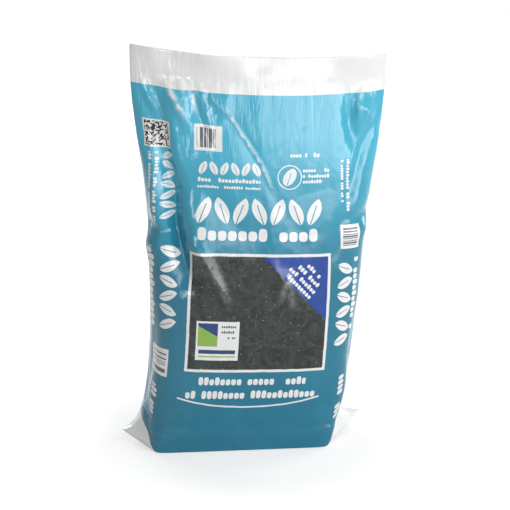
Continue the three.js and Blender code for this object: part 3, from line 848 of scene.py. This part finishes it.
def filmMaterial():
    material = bpy.data.materials.new("printed_polythene_film")
    material.use_nodes = True
    tree = material.node_tree
    tree.nodes.clear()
    output = addNode(tree, "ShaderNodeOutputMaterial")
    shader = addNode(tree, "ShaderNodeBsdfPrincipled", {"IOR": polythene["ior"]})
    tree.links.new(shader.outputs["BSDF"], output.inputs["Surface"])
    uv = addNode(tree, "ShaderNodeUVMap", {"uv_map": "film"})
    scaled = addNode(tree, "ShaderNodeVectorMath", {"operation": "SCALE", "Scale": 1 / mm},
                     {0: uv.outputs["UV"]})
    place = scaled.outputs[0]
    parts = addNode(tree, "ShaderNodeSeparateXYZ", links={"Vector": place})
    x, y = parts.outputs["X"], parts.outputs["Y"]
    stray = addNode(tree, "ShaderNodeTexNoise", {"Scale": polythene["strayScale"], "Detail": 3.0},
                    {"Vector": place}).outputs[0]
    strayX = combine(tree, "MULTIPLY_ADD", stray, polythene["strayBy"],
                     combine(tree, "SUBTRACT", x, polythene["strayBy"] / 2))
    standing, foldWhiteAndHighlight = 0.0, 0.0
    for path, width, whiteAndHighlightShare in foldLines:
        ridge = foldRidge(tree, strayX, y, path, width)
        standing = combine(tree, "MULTIPLY_ADD", ridge, min(1.0, width / polythene["foldFull"]), standing)
        foldWhiteAndHighlight = combine(tree, "MAXIMUM", combine(tree, "MULTIPLY", ridge, whiteAndHighlightShare), foldWhiteAndHighlight)
    colour = printedFilm(tree, place, x, y)
    broken = addNode(tree, "ShaderNodeMapRange", {"From Min": polythene["whiteAndHighlightFrom"],
                                                  "From Max": polythene["whiteAndHighlightTo"]}, {"Value": stray})
    # white along the fold lines: partly fold whitening, partly painted highlights
    foldWhiteAndHighlight = combine(tree, "MULTIPLY", combine(tree, "POWER", foldWhiteAndHighlight, 2.0), broken.outputs[0])
    colour = paint(tree, colour, foldWhiteAndHighlight, ink["white"])
    tree.links.new(colour, shader.inputs["Base Color"])

    drawn = addNode(tree, "ShaderNodeMapping", {"Scale": (1.0, polythene["drawn"], 1.0)}, {"Vector": place})
    crinkle = addNode(tree, "ShaderNodeTexNoise",
                      {"Scale": polythene["crinkleScale"], "Detail": 3.0, "Distortion": 0.6},
                      {"Vector": drawn.outputs[0]}).outputs[0]
    cells = addNode(tree, "ShaderNodeTexVoronoi",
                    {"feature": "DISTANCE_TO_EDGE", "Scale": polythene["creaseScale"]}, {"Vector": place})
    crease = addNode(tree, "ShaderNodeMapRange", {"From Max": polythene["creaseWidth"]},
                     {"Value": cells.outputs["Distance"]})
    height = combine(tree, "MULTIPLY_ADD", crease.outputs[0], polythene["creaseHeight"], crinkle)
    fanned = addNode(tree, "ShaderNodeMapping",
                     {"Scale": polythene["pleatScale"], "Rotation": (0, 0, polythene["pleatTurn"])},
                     {"Vector": place})
    pleats = addNode(tree, "ShaderNodeTexNoise", {"Scale": 1.0, "Detail": 2.0, "Distortion": 0.5},
                     {"Vector": fanned.outputs[0]})
    pleatEdge = combine(tree, "ABSOLUTE", combine(tree, "SUBTRACT", pleats.outputs[0], 0.5))
    nearSeam = addNode(tree, "ShaderNodeMapRange",
                       {"From Min": polythene["pleatFrom"], "From Max": polythene["pleatTo"],
                        "To Max": polythene["pleatHeight"]}, {"Value": y})
    inHeader = combine(tree, "GREATER_THAN", y, sack["weldHeight"])
    pleatHeight = combine(tree, "MULTIPLY_ADD", inHeader, polythene["lessInHeader"], nearSeam.outputs[0])
    height = combine(tree, "MULTIPLY_ADD", pleatEdge, pleatHeight, height)
    height = combine(tree, "MULTIPLY_ADD", standing, polythene["foldHeight"], height)
    weldBand = within(tree, y, sack["weldHeight"], sack["weldHeight"] + sack["weldWidth"])
    height = combine(tree, "MULTIPLY_ADD", weldBand, polythene["weldHeight"], height)
    bump = addNode(tree, "ShaderNodeBump",
                   {"Strength": polythene["bump"], "Distance": polythene["bumpDepth"]}, {"Height": height})
    tree.links.new(bump.outputs[0], shader.inputs["Normal"])
    smoothest, roughest = polythene["roughness"]
    wear = addNode(tree, "ShaderNodeMapRange", {"To Min": smoothest, "To Max": roughest}, {"Value": crinkle})
    tree.links.new(wear.outputs[0], shader.inputs["Roughness"])
    return material


film.data.materials.append(filmMaterial())
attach(film, "root")
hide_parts("sack")
print("film printed")


# Floor, world and lamps

stage = {
    "paper": "#B4B4B4",
    "lift": (0.6, 0.95),      # light added for the camera near the sack and far from it
    "nearEdge": 0.18, "farEdge": 0.5,  # where that change lies, in metres from the middle of the floor
    "floorSize": 60,          # metres
    "roomLight": 0.14,
}
# softboxes: name, place, what it faces, size, watts
softboxes = [
    ("window_softbox", (1.05, -1.85, 0.5), (0, 0, 0.5), (2.8, 0.9), 72),
    ("high_softbox", (0.6, -0.4, 2.3), (0, 0, 0.2), (1.4, 1.0), 12),
    ("left_softbox", (-0.95, -1.85, 0.7), (0, 0, 0.5), (0.32, 0.5), 6),
    ("back_right_softbox", (1.9, 1.1, 1.0), (0, 0, 0.3), (1.0, 1.2), 26),
    ("back_left_softbox", (-1.3, 2.2, 1.2), (0, 0, 0.3), (1.6, 1.2), 42),
]
# a blind over the window: its strength at its left end and lower edge, and where the lower edge clears
blind = {"left": 0.4, "low": 0.05, "from": 0.18, "to": 0.5}


def makeStage():
    bpy.ops.object.select_all(action="DESELECT")
    bpy.ops.mesh.primitive_plane_add(size=stage["floorSize"])
    floor = bpy.context.object
    floor.name = "studio_floor"
    bpy.ops.object.transform_apply(location=True, rotation=True, scale=True)
    # white paper: the camera sees it lifted to white, and it still takes the sack's shadow
    material = bpy.data.materials.new("white_studio_paper")
    material.use_nodes = True
    tree = material.node_tree
    tree.nodes.clear()
    output = addNode(tree, "ShaderNodeOutputMaterial")
    paper = addNode(tree, "ShaderNodeBsdfDiffuse", {"Color": linear(stage["paper"])})
    rays = addNode(tree, "ShaderNodeLightPath")
    place = addNode(tree, "ShaderNodeTexCoord")
    away = addNode(tree, "ShaderNodeVectorMath", {"operation": "LENGTH"}, {0: place.outputs["Object"]})
    near, far = stage["lift"]
    lifted = addNode(tree, "ShaderNodeMapRange", {"From Min": stage["nearEdge"], "From Max": stage["farEdge"],
                                                  "To Min": near, "To Max": far},
                     {"Value": away.outputs["Value"]})
    seen = combine(tree, "MULTIPLY", combine(tree, "MAXIMUM", rays.outputs["Is Camera Ray"],
                                             rays.outputs["Is Glossy Ray"]), lifted.outputs[0])
    lift = addNode(tree, "ShaderNodeEmission", links={"Strength": seen})
    both = addNode(tree, "ShaderNodeAddShader", links={0: paper.outputs[0], 1: lift.outputs[0]})
    tree.links.new(both.outputs[0], output.inputs["Surface"])
    floor.data.materials.append(material)
    world = bpy.data.worlds.new("white_studio")
    bpy.context.scene.world = world
    world.use_nodes = True
    background = world.node_tree.nodes["Background"]
    background.inputs["Color"].default_value = (1, 1, 1, 1)
    # the room lights the sack dimly, and is white where it is seen or mirrored
    rays = addNode(world.node_tree, "ShaderNodeLightPath")
    seen = combine(world.node_tree, "MAXIMUM", rays.outputs["Is Camera Ray"], rays.outputs["Is Glossy Ray"])
    bright = addNode(world.node_tree, "ShaderNodeMapRange", {"To Min": stage["roomLight"]}, {"Value": seen})
    world.node_tree.links.new(bright.outputs[0], background.inputs["Strength"])


def addSoftbox(name, place, target, size, power):
    bpy.ops.object.light_add(type="AREA", location=place)
    lamp = bpy.context.object
    lamp.name = name
    lamp.data.shape = "RECTANGLE"
    lamp.data.size, lamp.data.size_y = size
    lamp.data.energy = power
    lamp.rotation_euler = (Vector(place) - Vector(target)).to_track_quat("Z", "Y").to_euler()
    return lamp


def hangBlind(lamp):
    lamp.data.use_nodes = True
    tree = lamp.data.node_tree
    spot = addNode(tree, "ShaderNodeNewGeometry")
    across = addNode(tree, "ShaderNodeSeparateXYZ", links={"Vector": spot.outputs["Parametric"]})
    sideways = addNode(tree, "ShaderNodeMapRange", {"To Min": blind["left"]}, {"Value": across.outputs["X"]})
    upward = addNode(tree, "ShaderNodeMapRange",
                     {"From Min": blind["from"], "From Max": blind["to"], "To Min": blind["low"]},
                     {"Value": across.outputs["Y"]})
    level = combine(tree, "MULTIPLY", sideways.outputs[0], upward.outputs[0])
    tree.links.new(level, tree.nodes["Emission"].inputs["Strength"])


makeStage()
lamps = [addSoftbox(*softbox) for softbox in softboxes]
hangBlind(lamps[0])
bpy.context.scene.view_settings.view_transform = "Standard"
print("stage ready")
